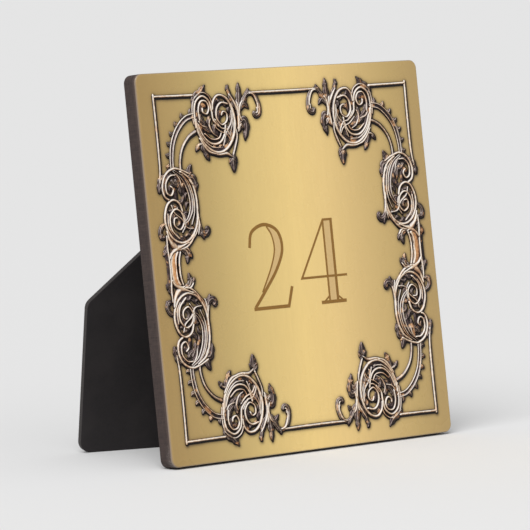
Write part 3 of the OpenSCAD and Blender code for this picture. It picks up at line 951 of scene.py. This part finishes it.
class Figures:
    """Open-face figures: each is drawn figure_h high from its own upper left corner, and placed enlarged."""

    def __init__(self):
        self.top = figures_v - figure_scale * figure_h / 2
        self.left = (panel_w / MM - figure_scale * (two_w + figure_gap + four_w)) / 2
        self.ink = Relief(0.5)
        self.inlay = Relief(0.8)
        self.strokes = 0

    def height(self):
        """A stroke's height over the face: each lies a little higher than the one before."""
        self.strokes += 1
        return stroke_h + 0.001 * self.strokes

    def placed(self, knots):
        return [(self.left + figure_scale * u, self.top + figure_scale * v) for u, v in knots]

    def curve(self, knots, width):
        self.ink.strand(self.placed(knots), width, self.height(), FLAT, inked=False)

    def lines(self, knots, width):
        """Straight strokes from knot to knot."""
        self.ink.ribbon(self.placed(knots), width, self.height())

    def fill(self, knots, width):
        self.inlay.strand(self.placed(knots), width, inlay_h, FLAT, inked=False)

    def open_stem(self, u, gap=1.7):
        """A thick upright drawn as two lines with a pale inlay between them; u is its middle line."""
        self.fill([(u, 0), (u, figure_h)], gap * figure_scale - 0.8)
        self.lines([(u - gap / 2, 0), (u - gap / 2, figure_h)], ink_thin)
        self.lines([(u + gap / 2, 0), (u + gap / 2, figure_h)], ink_thick)

    def serif(self, u, reach, rise=0.8, half=1.0):
        """A slab serif across a stem's foot, with small brackets that rise to its sides, half away."""
        self.lines([(u - reach, figure_h), (u + reach, figure_h)], ink_thick)
        for side in (-1, 1):
            self.lines([(u + side * reach * 0.8, figure_h), (u + side * half, figure_h - rise)], ink_fine)

    def two(self):
        foot = figure_h
        self.fill([(4.4, 0.5), (5.5, 1.9), (5.9, 4), (4.7, 6.7), (2.5, 9.6)], (1.0, 3.1, 3.4, 2.7, 0.6))
        self.curve([(0.1, 3.3), (0.8, 1), (3.4, 0), (6, 1.1), (6.7, 3.8), (5.3, 6.7), (2.7, 9.7),
                    (0.2, 12.3)], ink_thick)
        self.curve([(3.9, 0.3), (4.8, 1.7), (5.1, 3.9), (4.1, 6.5), (1.9, 10.1)], ink_fine)
        self.lines([(-0.1, foot), (two_w - 1, foot), (two_w, foot - 2.9)], ink_thick)

    def four(self):
        stem, bar = 6.2, 8.6
        self.open_stem(stem)
        self.lines([(stem + 1.12, 0), (stem - 0.8, 0), (0, bar), (four_w, bar)], ink_thin)
        self.serif(stem, 2.6)


def number():
    """The number in the middle of the face."""
    figures = Figures()
    figures.two()
    figures.left += figure_scale * (two_w + figure_gap)
    figures.four()
    ink = printed_lettering("number_ink", (136, 98, 44), (154, 114, 56))
    inlay = printed_lettering("number_inlay", (212, 178, 122), (222, 190, 134))
    figures.ink.piece("number_ink", ink, "printed_lettering", smooth=False)
    figures.inlay.piece("number_inlay", inlay, "printed_lettering", smooth=False)


# ---------------- CAD pieces with eased edges

def eased(node, name, body, material, width):
    """A copy of a CAD node whose sharp edges are bevelled by width, so that they catch the light."""
    mesh = bmesh.new()
    mesh.from_mesh(frame["nodes"][node].data)
    bmesh.ops.remove_doubles(mesh, verts=mesh.verts, dist=0.5e-6)
    bmesh.ops.dissolve_limit(mesh, angle_limit=math.radians(0.5), verts=mesh.verts, edges=mesh.edges)
    edges = [e for e in mesh.edges if e.is_manifold and e.calc_face_angle(0) > math.radians(30)]
    bmesh.ops.bevel(mesh, geom=edges, offset=width, segments=1, affect="EDGES", clamp_overlap=True)
    data = bpy.data.meshes.new(name)
    mesh.to_mesh(data)
    mesh.free()
    data.polygons.foreach_set("use_smooth", [True] * len(data.polygons))
    data.set_sharp_from_angle(angle=math.radians(28))
    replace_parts(ridden(name, data, material, body), node)


def finish_node(node, material):
    """A CAD node that stays as it is, with a better material."""
    cad = frame["nodes"][node]
    cad.data.materials.clear()
    cad.data.materials.append(material)


def leg_and_hinge():
    """The finishes of the leg's and the hinge's nodes, some of them on a bevelled copy."""
    paper = black_paper()
    eased("leg_front_paper", "front_paper", "leg", paper, 0.06 * MM)
    eased("leg_back_paper", "back_paper", "leg", paper, 0.06 * MM)
    finish_node("leg_core", hardboard("leg_hardboard", LEG, (46, 42, 41), (68, 63, 62)))
    sheet = plated_steel("hinge_steel", (190, 188, 182), (168, 167, 163), PANEL)
    eased("panel_hinge_leaf", "panel_leaf", "plaque", sheet, 0.12 * MM)
    eased("leg_hinge_leaf", "leg_leaf", "leg", sheet, 0.12 * MM)
    wire = plated_steel("screw_steel", (200, 197, 188), (176, 173, 165), PANEL)
    finish_node("hinge_pin", wire)
    finish_node("panel_leaf_screws", wire)
    finish_node("leg_rivets", painted_black())


# ---------------- stage, light and camera

def stage():
    """A pale floor without an end, soft light from all round, a soft key light and a weak front light."""
    made, tree, shader = new_material("floor")
    shader.inputs["Base Color"].default_value = (0.80, 0.80, 0.80, 1)
    shader.inputs["Roughness"].default_value = 0.9
    shader.inputs["Specular IOR Level"].default_value = 0.0
    reach = 12
    mesh = bpy.data.meshes.new("floor")
    corners = [(-reach, -reach, 0), (reach, -reach, 0), (reach, reach, 0), (-reach, reach, 0)]
    mesh.from_pydata(corners, [], [(0, 1, 2, 3)])
    mesh.materials.append(made)
    floor = bpy.data.objects.new("floor", mesh)
    scene.collection.objects.link(floor)
    world = bpy.data.worlds.new("studio")
    world.use_nodes = True
    sky = world.node_tree.nodes["Background"].inputs
    sky["Color"].default_value = (1, 1, 1, 1)
    sky["Strength"].default_value = 0.45
    scene.world = world
    azimuth, elevation = math.radians(-62), math.radians(50)
    out = math.cos(elevation)
    towards_key = Vector((math.sin(azimuth) * out, -math.cos(azimuth) * out, math.sin(elevation)))
    key = light("key", "SUN", 2.16, towards_key)
    key.data.angle = math.radians(45)
    front = light("front", "AREA", 0.25, Vector((-0.05, -0.45, 0.5)))
    front.data.size = 0.5
    front.location = (-0.05, -0.55, 0.5)


def light(name, kind, energy, towards):
    """A light whose beam comes from that direction."""
    data = bpy.data.lights.new(name, kind)
    data.energy = energy
    lamp = bpy.data.objects.new(name, data)
    lamp.rotation_euler = towards.to_track_quat("Z", "Y").to_euler()
    scene.collection.objects.link(lamp)
    return lamp


def camera():
    """A long lens from the front left, a little above the table."""
    aim = Vector((0.0028, 0, 0.0630))
    distance = 1.5418
    azimuth = math.radians(-42.87)
    elevation = math.radians(5.36)
    roll = math.radians(-0.37)
    data = bpy.data.cameras.new("camera")
    data.lens = 298.7
    data.clip_start = 0.05
    data.clip_end = 60
    made = bpy.data.objects.new("camera", data)
    turn = Matrix.Rotation(azimuth, 4, "Z") @ Matrix.Rotation(math.pi / 2 - elevation, 4, "X")
    back = turn.to_3x3() @ UP
    made.matrix_world = Matrix.Translation(aim + back * distance) @ turn @ Matrix.Rotation(roll, 4, "Z")
    scene.collection.objects.link(made)
    scene.camera = made


# ---------------- build

camera()
stage()
scene.view_settings.view_transform = "Standard"

art = quarter_art()
panel_board()
printed_face(shadow_map(art.stamps))
scroll_print = printed_scrollwork()
for quarter, flip_u, flip_v in (("upper_left", False, False), ("upper_right", True, False),
                                ("lower_left", False, True), ("lower_right", True, True)):
    art.piece("scrollwork_" + quarter, scroll_print, "printed_scrollwork", flip_u, flip_v)
number()
leg_and_hinge()
